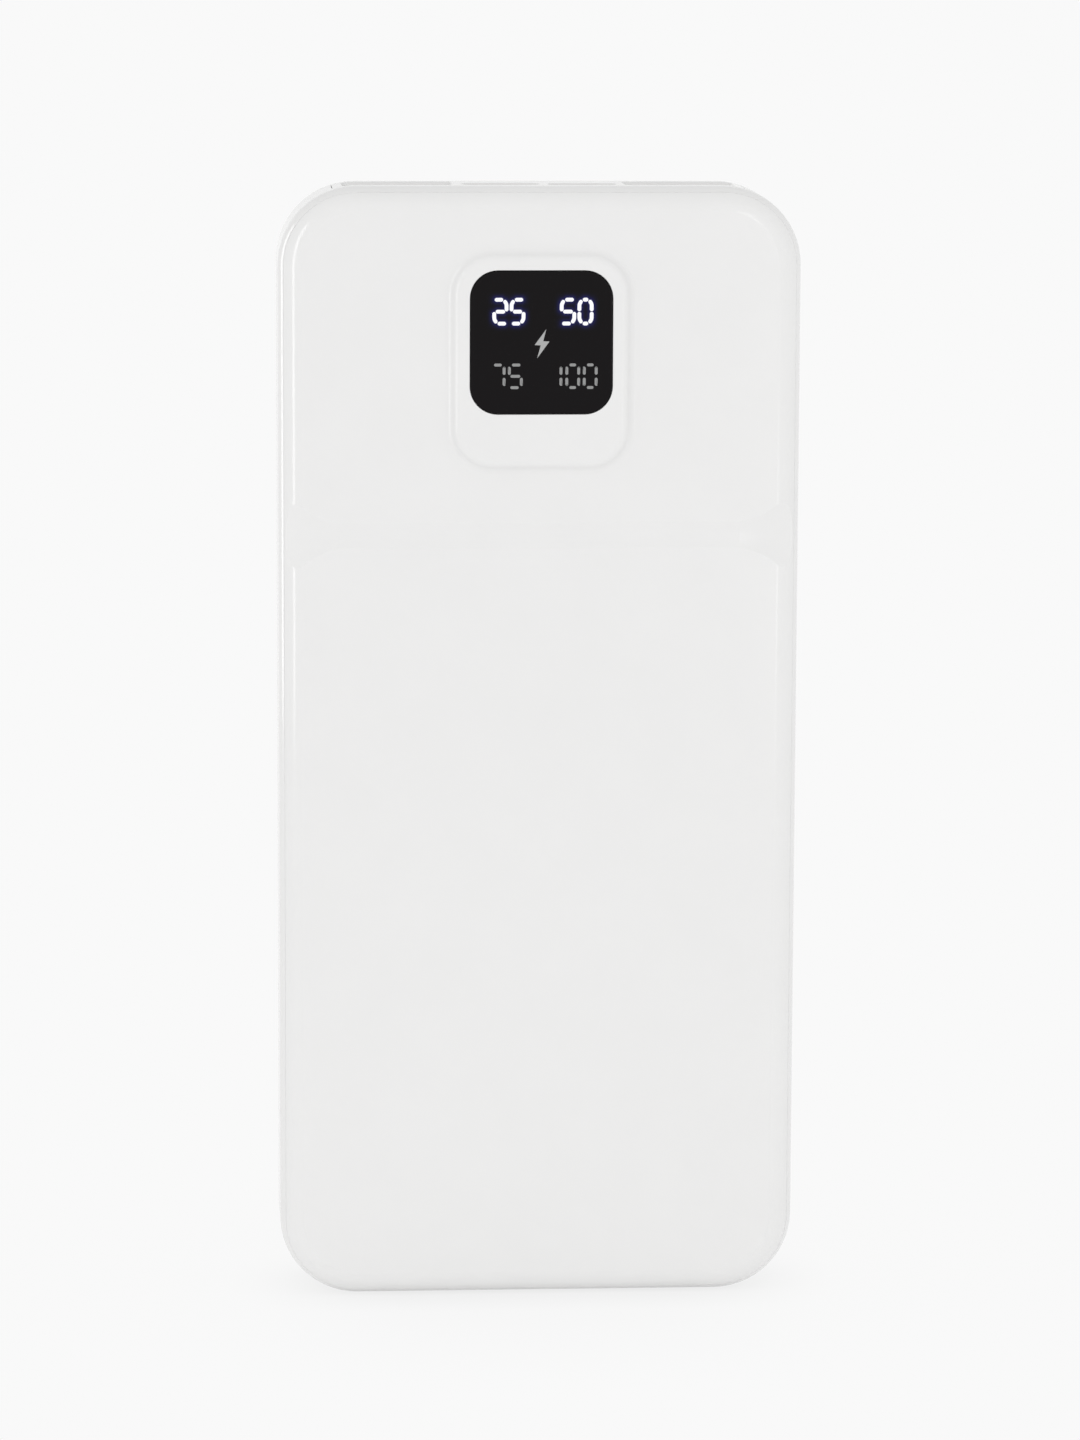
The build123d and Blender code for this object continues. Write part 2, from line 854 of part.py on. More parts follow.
# ---------------------------------------------------------------- small charging socket
def micro_outline(grow):
    """A rectangle with its two board-side corners cut off."""
    half_width = micro_opening_width / 2 + grow
    half_height = micro_opening_height / 2 + grow
    cut = micro_chamfer + grow / 2
    points = [
        (-half_width, half_height),
        (half_width, half_height),
        (half_width, -half_height + cut),
        (half_width - cut, -half_height),
        (-half_width + cut, -half_height),
        (-half_width, -half_height + cut),
    ]
    return make_face(Polyline(*points, close=True))


def micro_usb_shell():
    low = mouth_height - micro_depth
    outer = upright(micro_outline(micro_sheet), micro_x, micro_y, low, mouth_height)
    return outer - upright(micro_outline(0), micro_x, micro_y, low - past, mouth_height + past)


def micro_tongue_y():
    return micro_y + micro_opening_height / 2 - micro_tongue_thickness / 2 - micro_tongue_gap


def micro_usb_tongue():
    low = mouth_height - micro_depth
    top = low + micro_block_depth
    base = upright(micro_outline(-socket_fit), micro_x, micro_y, low, top)
    blade = Rectangle(micro_tongue_width, micro_tongue_thickness)
    return base + upright(blade, micro_x, micro_tongue_y(), top - bite, mouth_height - micro_tongue_tip)


def micro_usb_contacts():
    tip = mouth_height - micro_tongue_tip - contact_tip_gap
    span = (micro_contact_count - 1) * micro_contact_pitch
    face = micro_tongue_y() - micro_tongue_thickness / 2
    pads = []
    for index in range(micro_contact_count):
        x = micro_x - span / 2 + index * micro_contact_pitch
        across = (x - micro_contact_width / 2, x + micro_contact_width / 2)
        pads.append(box(across, (face - usb_c_contact_thickness, face), (tip - micro_contact_length, tip)))
    return group(pads)


# ---------------------------------------------------------------- side button and switch
def power_button():
    """The pill-shaped cap, its inner flange and the post that pushes the switch."""
    side = body_width / 2
    cap = sideways(pill(button_length, button_width), flange_face_x - bite, side, 0, button_height_up)
    rim = cap.edges().filter_by_position(Axis.X, side - same_place, side + same_place)
    cap = fillet(rim, button_edge_break)
    grown = pill(button_length + 2 * button_flange_margin, button_width + 2 * button_flange_margin)
    flange = sideways(grown, flange_inner_x, flange_face_x, 0, button_height_up)
    half = button_post_size / 2
    up = (button_height_up - half, button_height_up + half)
    post = box((plunger_tip_x, flange_inner_x + bite), (-half, half), up)
    return joined([cap, flange, post])


def plunger_shape(grow):
    """The plunger's stem and the flange that keeps it in the switch."""
    half_y = plunger_width / 2 + grow
    half_z = plunger_length / 2 + grow
    up = (button_height_up - half_z, button_height_up + half_z)
    stem = box((plunger_flange_x, plunger_tip_x), (-half_y, half_y), up)
    flange_y = half_y + plunger_flange_margin
    flange_z = half_z + plunger_flange_margin
    up = (button_height_up - flange_z, button_height_up + flange_z)
    deep = (plunger_flange_x - plunger_flange_thickness, plunger_flange_x)
    return stem, (-flange_y, flange_y), up, deep


def switch_plunger():
    stem, across, up, deep = plunger_shape(0)
    return stem + box(deep, across, up)


def tact_switch_body():
    half = switch_length / 2
    up = (button_height_up - half, button_height_up + half)
    depth = (board_back_y, board_back_y + switch_thickness)
    body = box((switch_face_x - switch_body_depth, switch_face_x), depth, up)
    stem, across, cavity_up, deep = plunger_shape(plunger_clearance)
    inner_x = switch_face_x - switch_wall
    body -= box((inner_x - cavity_depth, inner_x), across, cavity_up)
    return body - stem


def switch_terminals():
    """Four small feet that solder the switch to the board."""
    feet = []
    for side in (-1, 1):
        z = button_height_up + side * (switch_length + terminal_foot) / 2
        for x in (switch_face_x - switch_body_depth + terminal_width, switch_face_x - terminal_width):
            back = board_back_y + terminal_thickness
            feet.append(block(x, z, terminal_width, terminal_foot, board_back_y, back))
    return group(feet)


# ---------------------------------------------------------------- cell, its circuit and its wires
def battery_cell():
    outline = rounded(0, cell_mid_height, cell_width, cell_length, cell_corner_radius)
    body = slab(outline, cell_front_y, cell_back_y)
    body = fillet(edges_at_y(body, cell_front_y) + edges_at_y(body, cell_back_y), cell_edge_radius)
    low = cell_top - cell_edge_radius
    terrace_span = (-terrace_width / 2, terrace_width / 2)
    terrace = box(terrace_span, (terrace_front_y, terrace_back_y), (low, terrace_top))
    return body + terrace


def cell_tab(x):
    """A thin strip that leaves the terrace's end and folds back on to the protection board."""
    low_y = (terrace_front_y + terrace_back_y) / 2 - tab_thickness / 2
    high_y = protection_back_y + tab_thickness
    top = terrace_top + tab_loop
    across = (x - tab_width / 2, x + tab_width / 2)
    riser = box(across, (low_y, low_y + tab_thickness), (terrace_top, top))
    bridge = box(across, (low_y, high_y), (top - tab_thickness, top))
    landing = box(across, (protection_back_y, high_y), (protection_mid_height, top))
    return joined([riser, bridge, landing])


def protection_board():
    z = protection_mid_height
    return block(0, z, protection_length, protection_height, terrace_back_y, protection_back_y)


def protection_chips():
    chips = []
    back = protection_back_y + protection_chip_height
    for x in protection_chip_places:
        size = protection_chip_size
        chips.append(block(x, protection_mid_height, size, size, protection_back_y, back))
    return group(chips)


def temperature_sensor():
    back = protection_back_y + ceramic_height
    z = protection_mid_height
    return block(sensor_offset, z, ceramic_width, sensor_length, protection_back_y, back)


def board_lead(x, radius, label):
    """A wire from the protection board, up and over on to the main board's back."""
    lie_y = protection_back_y + radius
    start = cell_top + lead_start_above
    drop = lie_y - board_back_y
    rise = lead_board_height - start
    bend = lead_bend_share * min(drop, rise)
    points = [(x, lie_y, start), (x, lie_y, lead_board_height), (x, board_back_y, lead_board_height)]
    path = FilletPolyline(*points, radius=bend)
    section = Plane(origin=points[0], z_dir=(0, 0, 1)) * Circle(radius)
    wire = sweep(section, path=path)
    expected = math.pi * radius**2 * path.length
    print(f"{label}: bend radius {bend:.2f}, volume over section x length {wire.volume / expected:.4f}")
    return wire


def cell_adhesive_sheet():
    width = cell_width - 2 * adhesive_side_margin
    height = cell_length - 2 * adhesive_end_margin
    return block(0, cell_mid_height, width, height, cell_back_y, -cover_inner_y)


def foam_pad():
    width = cell_width - 2 * foam_side_margin
    height = cell_length - 2 * foam_end_margin
    outline = rounded(0, cell_mid_height, width, height, foam_corner_radius)
    return slab(outline, cover_inner_y, cell_front_y)


def insulating_sheet():
    front = -cover_inner_y - insulator_thickness
    return block(0, board_mid_height, insulator_width, insulator_height, front, -cover_inner_y)


nodes = {
    "front_cover": front_cover(),
    "mid_frame": mid_frame(),
    "rear_cover": rear_cover(),
    "port_plate": port_plate(),
    "display_window": display_window(),
    "window_adhesive": window_adhesive(),
    "display_segment_film": display_segment_film(),
    "display_light_frame": display_light_frame(),
    "display_leds": display_leds(),
    "main_board": main_board(),
    "board_screws": board_screws(),
    "power_inductors": power_inductors(),
    "polymer_capacitors": polymer_capacitors(),
    "control_chips": control_chips(),
    "ceramic_capacitors": ceramic_capacitors(),
    "usb_a_shell_left": usb_a_shell(usb_a_left_x),
    "usb_a_shell_right": usb_a_shell(usb_a_right_x),
    "usb_a_tongue_left": usb_a_tongue(usb_a_left_x),
    "usb_a_tongue_right": usb_a_tongue(usb_a_right_x),
    "usb_a_contacts_left": usb_a_contacts(usb_a_left_x),
    "usb_a_contacts_right": usb_a_contacts(usb_a_right_x),
    "usb_c_shell": usb_c_shell(),
    "usb_c_tongue": usb_c_tongue(),
    "usb_c_contacts": usb_c_contacts(),
    "micro_usb_shell": micro_usb_shell(),
    "micro_usb_tongue": micro_usb_tongue(),
    "micro_usb_contacts": micro_usb_contacts(),
    "power_button": power_button(),
    "switch_plunger": switch_plunger(),
    "tact_switch_body": tact_switch_body(),
    "switch_terminals": switch_terminals(),
    "battery_cell": battery_cell(),
    "positive_tab": cell_tab(-tab_spacing / 2),
    "negative_tab": cell_tab(tab_spacing / 2),
    "protection_board": protection_board(),
    "protection_chips": protection_chips(),
    "temperature_sensor": temperature_sensor(),
    "positive_lead": board_lead(-lead_spacing / 2, lead_radius, "positive_lead"),
    "negative_lead": board_lead(lead_spacing / 2, lead_radius, "negative_lead"),
    "sensor_lead": board_lead(0, sensor_lead_radius, "sensor_lead"),
    "cell_adhesive_sheet": cell_adhesive_sheet(),
    "foam_pad": foam_pad(),
    "insulating_sheet": insulating_sheet(),
}

for name, shape in nodes.items():
    export_step(shape, f"parts/{name}.step")
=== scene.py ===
import json
import math

import bmesh
import bpy
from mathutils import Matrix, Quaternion, Vector


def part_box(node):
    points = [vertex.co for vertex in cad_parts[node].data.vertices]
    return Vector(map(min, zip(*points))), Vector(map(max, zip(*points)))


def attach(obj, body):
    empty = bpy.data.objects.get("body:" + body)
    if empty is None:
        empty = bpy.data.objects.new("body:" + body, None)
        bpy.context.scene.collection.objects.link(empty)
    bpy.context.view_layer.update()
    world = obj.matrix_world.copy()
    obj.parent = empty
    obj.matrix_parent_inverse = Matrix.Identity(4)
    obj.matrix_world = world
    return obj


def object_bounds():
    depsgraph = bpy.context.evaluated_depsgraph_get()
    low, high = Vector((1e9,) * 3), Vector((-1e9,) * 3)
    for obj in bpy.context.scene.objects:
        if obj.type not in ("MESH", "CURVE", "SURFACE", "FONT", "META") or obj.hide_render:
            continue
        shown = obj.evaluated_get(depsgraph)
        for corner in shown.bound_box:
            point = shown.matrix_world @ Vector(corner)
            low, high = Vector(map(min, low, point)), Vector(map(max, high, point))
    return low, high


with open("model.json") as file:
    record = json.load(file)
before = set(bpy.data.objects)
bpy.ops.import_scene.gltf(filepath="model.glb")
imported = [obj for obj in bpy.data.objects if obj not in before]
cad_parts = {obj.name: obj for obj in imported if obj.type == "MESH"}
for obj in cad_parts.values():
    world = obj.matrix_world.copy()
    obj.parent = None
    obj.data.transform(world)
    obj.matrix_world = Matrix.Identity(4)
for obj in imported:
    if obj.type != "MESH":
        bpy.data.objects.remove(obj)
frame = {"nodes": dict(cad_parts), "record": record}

cad_low, cad_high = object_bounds()
MM = 0.001

# The pack stands on the floor at z = 0 with its front towards -Y. Sizes are in metres, apart from those of
# the gauge, which are in mm.
NODES = frame["nodes"]
RECORD = frame["record"]
SLOT_OF = {entry["node"]: entry["material_slot"] for entry in RECORD["subparts"]}


# ------------------------------------------------------------------ shader expressions
# Which output of a node is meant, counted from 0.
GENERATED_PLACE = 0
OBJECT_PLACE = 3
OCCLUSION = 1
ATTRIBUTE_FACTOR = 2
CAMERA_RAY = 0
GLOSSY_RAY = 3
TRANSMISSION_RAY = 6


class Value:
    """One output of a shader node, which takes part in sums as a number does."""

    def __init__(self, finish, socket):
        self.finish = finish
        self.socket = socket

    def math(self, operation, *others):
        node = self.finish.add("ShaderNodeMath", {"operation": operation}, [self, *others])
        return node[0]

    def __add__(self, other):
        return self.math("ADD", other)

    def __mul__(self, other):
        return self.math("MULTIPLY", other)

    def __sub__(self, other):
        return self.math("SUBTRACT", other)

    def __rsub__(self, other):
        return (self * -1.0) + other

    __radd__ = __add__
    __rmul__ = __mul__


class Finish:
    """A material or world made of nodes."""

    def __init__(self, name, owner=None):
        self.owner = owner or bpy.data.materials.new(name)
        self.owner.use_nodes = True
        self.tree = self.owner.node_tree
        self.tree.nodes.clear()

    def feed(self, socket, value):
        if isinstance(value, Value):
            self.tree.links.new(value.socket, socket)
        elif isinstance(value, tuple) and len(value) == 3 and socket.type == "RGBA":
            socket.default_value = (*value, 1.0)
        else:
            socket.default_value = value

    def add(self, kind, settings=None, values=()):
        """Adds a node: settings first, then its inputs by order or by name. Returns its outputs."""
        node = self.tree.nodes.new(kind)
        for key, setting in (settings or {}).items():
            setattr(node, key, setting)
        pairs = values.items() if isinstance(values, dict) else enumerate(values)
        for key, value in pairs:
            self.feed(node.inputs[key], value)
        return [Value(self, socket) for socket in node.outputs]

    def noise(self, wave, detail=2.0, rough=0.5, stretch=(1.0, 1.0, 1.0)):
        """Noise from 0 to 1 with features about one wave across. A stretch under 1 draws them out."""
        place = self.add("ShaderNodeTexCoord")[OBJECT_PLACE]
        scaled = self.add("ShaderNodeMapping", None, {"Vector": place, "Scale": stretch})[0]
        values = {"Vector": scaled, "Scale": 1.0 / wave, "Detail": detail, "Roughness": rough}
        return self.add("ShaderNodeTexNoise", {"noise_dimensions": "3D"}, values)[0]

    def mix(self, share, first, second):
        """A colour between two colours."""
        return self.add("ShaderNodeMix", {"data_type": "RGBA"}, {0: share, 6: first, 7: second})[2]

    def ramp(self, value, low, high):
        """0 below low, 1 above high, and straight between."""
        values = {"Value": value, "From Min": low, "From Max": high}
        return self.add("ShaderNodeMapRange", {"clamp": True}, values)[0]

    def bump(self, height, strength, depth):
        """A surface direction tilted by a height from 0 to 1 that stands for depth."""
        values = {"Strength": strength, "Distance": depth, "Height": height}
        return self.add("ShaderNodeBump", None, values)[0]

    def surface(self, **sockets):
        """The shader itself, with each value on the socket of that name."""
        values = {key.replace("_", " "): value for key, value in sockets.items()}
        shader = self.add("ShaderNodeBsdfPrincipled", None, values)[0]
        self.add("ShaderNodeOutputMaterial", None, {"Surface": shader})
        return self.owner


def shade(colour, factor):
    """A colour made lighter or darker."""
    return tuple(min(1.0, part * factor) for part in colour)


# ------------------------------------------------------------------ finishes
# The specular levels of the window and of the signs on it, and how strongly the lit numbers shine.
WINDOW_GLOSS = 0.09
SIGN_GLOSS = 0.1
LAMP_LEVEL = 0.56


def polished_white_casing():
    """Polished white moulding: a faint waviness, and slight cloudiness in colour and polish."""
    finish = Finish("polished_white_casing")
    white = (0.832, 0.830, 0.826)
    cloud = finish.noise(9 * MM, 3.0, 0.55)
    colour = finish.mix(finish.ramp(cloud, 0.3, 0.7), shade(white, 0.994), shade(white, 1.006))
    haze = finish.noise(3 * MM, 4.0, 0.6)
    peel = finish.noise(0.9 * MM, 1.0, 0.5)
    return finish.surface(
        Base_Color=colour,
        Roughness=finish.ramp(haze, 0.2, 0.8) * 0.05 + 0.10,
        IOR=1.46,
        Normal=finish.bump(peel, 0.06, 0.01 * MM),
    )


def smoked_window():
    """Smoked acrylic, nearly black, with the least trace of dust and wiping."""
    finish = Finish("smoked_window")
    dust = finish.ramp(finish.noise(0.35 * MM, 2.0, 0.7), 0.74, 0.80)
    smear = finish.noise(4 * MM, 3.0, 0.6, (1.0, 1.0, 3.0))
    return finish.surface(
        Base_Color=finish.mix(dust, (0.0060, 0.0050, 0.0056), (0.020, 0.020, 0.022)),
        Roughness=finish.ramp(smear, 0.3, 0.7) * 0.05 + 0.06,
        Specular_IOR_Level=WINDOW_GLOSS,
    )


def matt_moulding(name, colour, roughness):
    """A plain moulded plastic with the fine grain of an etched tool."""
    finish = Finish(name)
    cloud = finish.noise(4 * MM, 3.0)
    grain = finish.noise(0.12 * MM, 2.0, 0.6)
    return finish.surface(
        Base_Color=finish.mix(cloud, shade(colour, 0.92), shade(colour, 1.08)),
        Roughness=grain * 0.12 + roughness,
        Normal=finish.bump(grain, 0.25, 0.01 * MM),
    )


def rolled_metal(name, colour, roughness, stretch=(1.0, 1.0, 0.04)):
    """Plated sheet or drawn metal, with fine lines along one axis."""
    finish = Finish(name)
    lines = finish.noise(0.05 * MM, 3.0, 0.6, stretch)
    stain = finish.noise(2.5 * MM, 3.0, 0.6)
    return finish.surface(
        Base_Color=finish.mix(stain, shade(colour, 0.9), shade(colour, 1.06)),
        Metallic=1.0,
        Roughness=lines * 0.16 + roughness - 0.08,
        Normal=finish.bump(lines, 0.15, 0.004 * MM),
    )


def solder_mask():
    """Green board lacquer over glass cloth, whose weave just shows."""
    finish = Finish("solder_mask")
    weave = finish.noise(0.5 * MM, 1.0, 0.4, (1.0, 1.0, 2.5))
    patch = finish.noise(3 * MM, 3.0, 0.6)
    return finish.surface(
        Base_Color=finish.mix(patch, (0.008, 0.085, 0.032), (0.016, 0.13, 0.05)),
        Roughness=patch * 0.1 + 0.25,
        Normal=finish.bump(weave, 0.2, 0.02 * MM),
        Coat_Weight=0.3,
    )


def pressed_powder():
    """Pressed ferrite powder: dark grey with light specks."""
    finish = Finish("pressed_powder")
    speck = finish.ramp(finish.noise(0.15 * MM, 3.0, 0.7), 0.55, 0.7)
    return finish.surface(
        Base_Color=finish.mix(speck, (0.05, 0.05, 0.055), (0.15, 0.15, 0.155)),
        Roughness=speck * 0.2 + 0.55,
        Normal=finish.bump(speck, 0.3, 0.02 * MM),
    )


def pouch_foil():
    """Laminated pouch foil, satin silver with soft wrinkles, and painted shade: darker in their hollows,
    lighter on their ridges.
    """
    finish = Finish("pouch_foil")
    wrinkle_and_shade = finish.noise(7 * MM, 4.0, 0.55)
    return finish.surface(
        # Painted shade: the colour follows the wrinkles' height, darker where the bump sinks.
        Base_Color=finish.mix(wrinkle_and_shade, (0.52, 0.52, 0.53), (0.70, 0.70, 0.71)),
        Metallic=0.85,
        Roughness=wrinkle_and_shade * 0.2 + 0.3,
        Normal=finish.bump(wrinkle_and_shade, 0.5, 0.3 * MM),
    )


def soft_foam():
    """Open-cell foam: grey walls round pores, with shade painted dark into the pores."""
    finish = Finish("soft_foam")
    pores_and_shade = finish.ramp(finish.noise(0.5 * MM, 2.0, 0.7), 0.35, 0.6)
    return finish.surface(
        # Painted shade: the pores' darkness follows the same mask that sinks them in the bump.
        Base_Color=finish.mix(pores_and_shade, (0.03, 0.03, 0.032), (0.16, 0.16, 0.17)),
        Roughness=0.95,
        Normal=finish.bump(pores_and_shade, 0.8, 0.2 * MM),
    )


def silicone_sleeve(name, colour):
    """Wire insulation: a soft sheen and slight scuffs."""
    finish = Finish(name)
    scuff = finish.noise(0.8 * MM, 3.0, 0.6)
    return finish.surface(
        Base_Color=finish.mix(scuff, shade(colour, 0.85), shade(colour, 1.1)),
        Roughness=scuff * 0.15 + 0.4,
        Sheen_Weight=0.1,
    )


def fibre_paper():
    """Pressed insulating paper with short fibres."""
    finish = Finish("fibre_paper")
    fibre = finish.noise(0.4 * MM, 4.0, 0.7, (1.0, 1.0, 0.2))
    return finish.surface(
        Base_Color=finish.mix(fibre, (0.66, 0.66, 0.62), (0.82, 0.82, 0.79)),
        Roughness=fibre * 0.1 + 0.8,
        Normal=finish.bump(fibre, 0.4, 0.02 * MM),
    )


def film_tape():
    """Milky double-sided tape."""
    finish = Finish("film_tape")
    milk = finish.noise(2 * MM, 3.0)
    return finish.surface(
        Base_Color=finish.mix(milk, (0.68, 0.68, 0.64), (0.8, 0.8, 0.77)),
        Roughness=milk * 0.15 + 0.3,
    )


def lit_sign():
    """Lamps at full brightness seen through the window: white, and slightly cool in places."""
    finish = Finish("lit_sign")
    patch = finish.noise(0.6 * MM, 2.0)
    glow = finish.mix(patch, (0.97, 0.97, 1.0), (1.0, 1.0, 1.0))
    return finish.surface(
        Base_Color=finish.mix(patch, (0.44, 0.44, 0.47), (0.48, 0.48, 0.50)),
        Roughness=0.4,
        Specular_IOR_Level=SIGN_GLOSS,
        Emission_Color=glow,
        Emission_Strength=LAMP_LEVEL,
    )


def dim_sign(name, grey):
    """A sign that is not lit, which shows as an even grey."""
    finish = Finish(name)
    print_grain = finish.noise(0.3 * MM, 2.0, 0.6)
    low = (grey * 0.9, grey * 0.9, grey * 0.905)
    high = (grey * 1.08, grey * 1.09, grey * 1.085)
    return finish.surface(
        Base_Color=finish.mix(print_grain, low, high),
        Roughness=0.5,
        Specular_IOR_Level=SIGN_GLOSS,
    )


def blue_halo():
    """The window's own finish, with lamp light scattered round the lit numbers."""
    finish = Finish("blue_halo")
    halo = finish.add("ShaderNodeAttribute", {"attribute_name": "halo"})[ATTRIBUTE_FACTOR]
    smear = finish.noise(4 * MM, 3.0, 0.6, (1.0, 1.0, 3.0))
    return finish.surface(
        Base_Color=finish.mix(smear, (0.0056, 0.0048, 0.0052), (0.0064, 0.0054, 0.0060)),
        Roughness=finish.ramp(smear, 0.3, 0.7) * 0.05 + 0.06,
        Specular_IOR_Level=WINDOW_GLOSS,
        Emission_Color=finish.mix(halo, (0.0, 0.0, 0.0), (0.010, 0.012, 0.11)),
        Emission_Strength=1.0,
    )


def finishes_by_slot():
    """One finish for each of the record's material slots."""
    along_y = (1.0, 0.05, 1.0)
    return {
        "casing_white": polished_white_casing(),
        "window_smoke": smoked_window(),
        "tape_clear": film_tape(),
        "film_black": matt_moulding("mask_print", (0.012, 0.012, 0.013), 0.45),
        "well_white": matt_moulding("white_wells", (0.80, 0.80, 0.79), 0.5),
        "lamp_resin": matt_moulding("lamp_resin", (0.82, 0.72, 0.36), 0.3),
        "board_green": solder_mask(),
        "screw_steel": rolled_metal("screw_steel", (0.42, 0.42, 0.43), 0.35, along_y),
        "ferrite_grey": pressed_powder(),
        "can_aluminium": rolled_metal("capacitor_can", (0.78, 0.78, 0.79), 0.3, along_y),
        "chip_black": matt_moulding("chip_epoxy", (0.016, 0.016, 0.018), 0.55),
        "capacitor_tan": matt_moulding("fired_ceramic", (0.33, 0.22, 0.13), 0.45),
        "socket_steel": rolled_metal("socket_steel", (0.62, 0.61, 0.60), 0.26),
        "socket_black": matt_moulding("socket_black", (0.014, 0.014, 0.015), 0.45),
        "contact_gold": rolled_metal("contact_gold", (0.86, 0.62, 0.24), 0.24),
        "pouch_foil": pouch_foil(),
        "tab_aluminium": rolled_metal("tab_aluminium", (0.80, 0.80, 0.81), 0.34),
        "tab_nickel": rolled_metal("tab_nickel", (0.56, 0.56, 0.57), 0.3),
        "lead_red": silicone_sleeve("red_sleeve", (0.45, 0.012, 0.010)),
        "lead_black": silicone_sleeve("black_sleeve", (0.014, 0.014, 0.015)),
        "lead_yellow": silicone_sleeve("yellow_sleeve", (0.62, 0.42, 0.02)),
        "foam_grey": soft_foam(),
        "sheet_white": fibre_paper(),
    }


def finish_the_nodes():
    """Puts its slot's finish on each CAD node."""
    finishes = finishes_by_slot()
    for name, node in NODES.items():
        node.data.materials.clear()
        node.data.materials.append(finishes[SLOT_OF[name]])


# ------------------------------------------------------------------ the gauge's numbers
# A figure is made from seven bars: a at the top, b and c down the right, d at the bottom, e and f up the
# left, and g at half height. Each bar is a path, measured from the figure's middle, drawn as a stroke.
BARS_OF = {
    "0": "abcdef",
    "1": "bc",
    "2": "abged",
    "5": "afgcd",
    "7": "abc",
}
# height, stroke, corner (the corner's radius) and split (the gap at half height) are in mm. reach is how
# far the upright bars follow the corner's curve, in degrees. Level bars end at a share of half the
# width: free where no upright bar meets them, and met where one does.
LIT = {
    "height": 3.5,
    "stroke": 0.48,
    "corner": 0.78,
    "reach": 58.0,
    "split": 0.10,
    "free": 0.70,
    "met": 0.34,
}
DIM = {
    "height": 3.24,
    "stroke": 0.37,
    "corner": 0.30,
    "reach": 14.0,
    "split": 0.40,
    "free": 0.66,
    "met": 0.44,
}
CORNER_STEPS = 5
# Each bar narrows to TIP_SHARE of its stroke over its last TIP_LENGTH strokes. The bar at half height
# stops MIDDLE_INSET strokes short of the uprights' middles.
TIP_SHARE = 0.45
TIP_LENGTH = 0.35
MIDDLE_INSET = 0.4


def bar_paths(width, style, bars):
    """The path of each of a figure's bars, round a middle at (0, 0)."""
    stroke, corner, gap = style["stroke"], style["corner"], style["split"]
    side = (width - stroke) / 2
    top = (style["height"] - stroke) / 2
    bend = []
    for step in range(CORNER_STEPS + 1):
        angle = math.radians(style["reach"] * (1 - step / CORNER_STEPS))
        x = side - corner + corner * math.cos(angle)
        z = top - corner + corner * math.sin(angle)
        bend.append((x, z))
    upper_right = bend + [(side, gap / 2)]
    inner = side - stroke * MIDDLE_INSET

    def level_bar(rise, left, right):
        ends = [style["met" if bar in bars else "free"] * width / 2 for bar in (left, right)]
        return [(-ends[0], rise), (ends[1], rise)]

    return {
        "a": level_bar(top, "f", "b"),
        "b": upper_right,
        "c": [(x, -z) for x, z in upper_right],
        "d": level_bar(-top, "e", "c"),
        "e": [(-x, -z) for x, z in upper_right],
        "f": [(-x, z) for x, z in upper_right],
        "g": [(-inner, 0.0), (inner, 0.0)],
    }


def stroke_outline(path, stroke, point):
    """The outline of a stroke along a path. Each end narrows over its last stretch, by point."""
    places = [Vector(place) for place in path]
    half = stroke / 2
    left, right = [], []
    for index, place in enumerate(places):
        before = places[max(index - 1, 0)]
        after = places[min(index + 1, len(places) - 1)]
        along = (after - before).normalized()
        across = Vector((-along.y, along.x)) * half
        if index == 0:
            shoulder = place + along * point
            left += [place + across * TIP_SHARE, shoulder + across]
            right += [place - across * TIP_SHARE, shoulder - across]
        elif index == len(places) - 1:
            shoulder = place - along * point
            left += [shoulder + across, place + across * TIP_SHARE]
            right += [shoulder - across, place - across * TIP_SHARE]
        else:
            left.append(place + across)
            right.append(place - across)
    return left + right[::-1]


def number_outlines(places, rise, style):
    """The outlines of a row of figures: each place is (figure, middle x, width)."""
    outlines = []
    for figure, middle, width in places:
        paths = bar_paths(width, style, BARS_OF[figure])
        for bar in BARS_OF[figure]:
            outline = stroke_outline(paths[bar], style["stroke"], style["stroke"] * TIP_LENGTH)
            outlines.append([Vector((place.x + middle, place.y + rise)) for place in outline])
    return outlines


def window_place(point, y):
    """Where a point in mm from the window's middle lies, at depth y."""
    return (WINDOW_X + point.x * MM, y, WINDOW_Z + point.y * MM)


def piece_on_window(name, shape, finish):
    """Makes a piece of the gauge, which rides on the casing, and returns its mesh."""
    mesh = bpy.data.meshes.new(name)
    shape.to_mesh(mesh)
    shape.free()
    mesh.materials.append(finish)
    piece = bpy.data.objects.new(name, mesh)
    bpy.context.scene.collection.objects.link(piece)
    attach(piece, "casing")
    return mesh


def thin_piece(name, outlines, finish):
    """Flat shapes of a little depth, lying on the window: outlines are in mm from its middle."""
    shape = bmesh.new()
    for outline in outlines:
        rows = []
        for y in (SIGN_Y, SIGN_Y + SIGN_DEPTH):
            rows.append([shape.verts.new(window_place(point, y)) for point in outline])
        near, far = rows
        shape.faces.new(near)
        shape.faces.new(far[::-1])
        count = len(outline)
        for index in range(count):
            after = (index + 1) % count
            shape.faces.new((near[after], near[index], far[index], far[after]))
    bmesh.ops.recalc_face_normals(shape, faces=shape.faces)
    piece_on_window(name, shape, finish)


def distance_to_outline(point, outline):
    """How far a point lies outside an outline, 0 inside it."""
    inside = False
    nearest = math.inf
    count = len(outline)
    for index in range(count):
        a, b = outline[index], outline[(index + 1) % count]
        edge = b - a
        share = max(0.0, min(1.0, (point - a).dot(edge) / edge.length_squared))
        nearest = min(nearest, (point - (a + edge * share)).length)
        if (a.y > point.y) != (b.y > point.y):
            if point.x < a.x + edge.x * (point.y - a.y) / edge.y:
                inside = not inside
    return 0.0 if inside else nearest


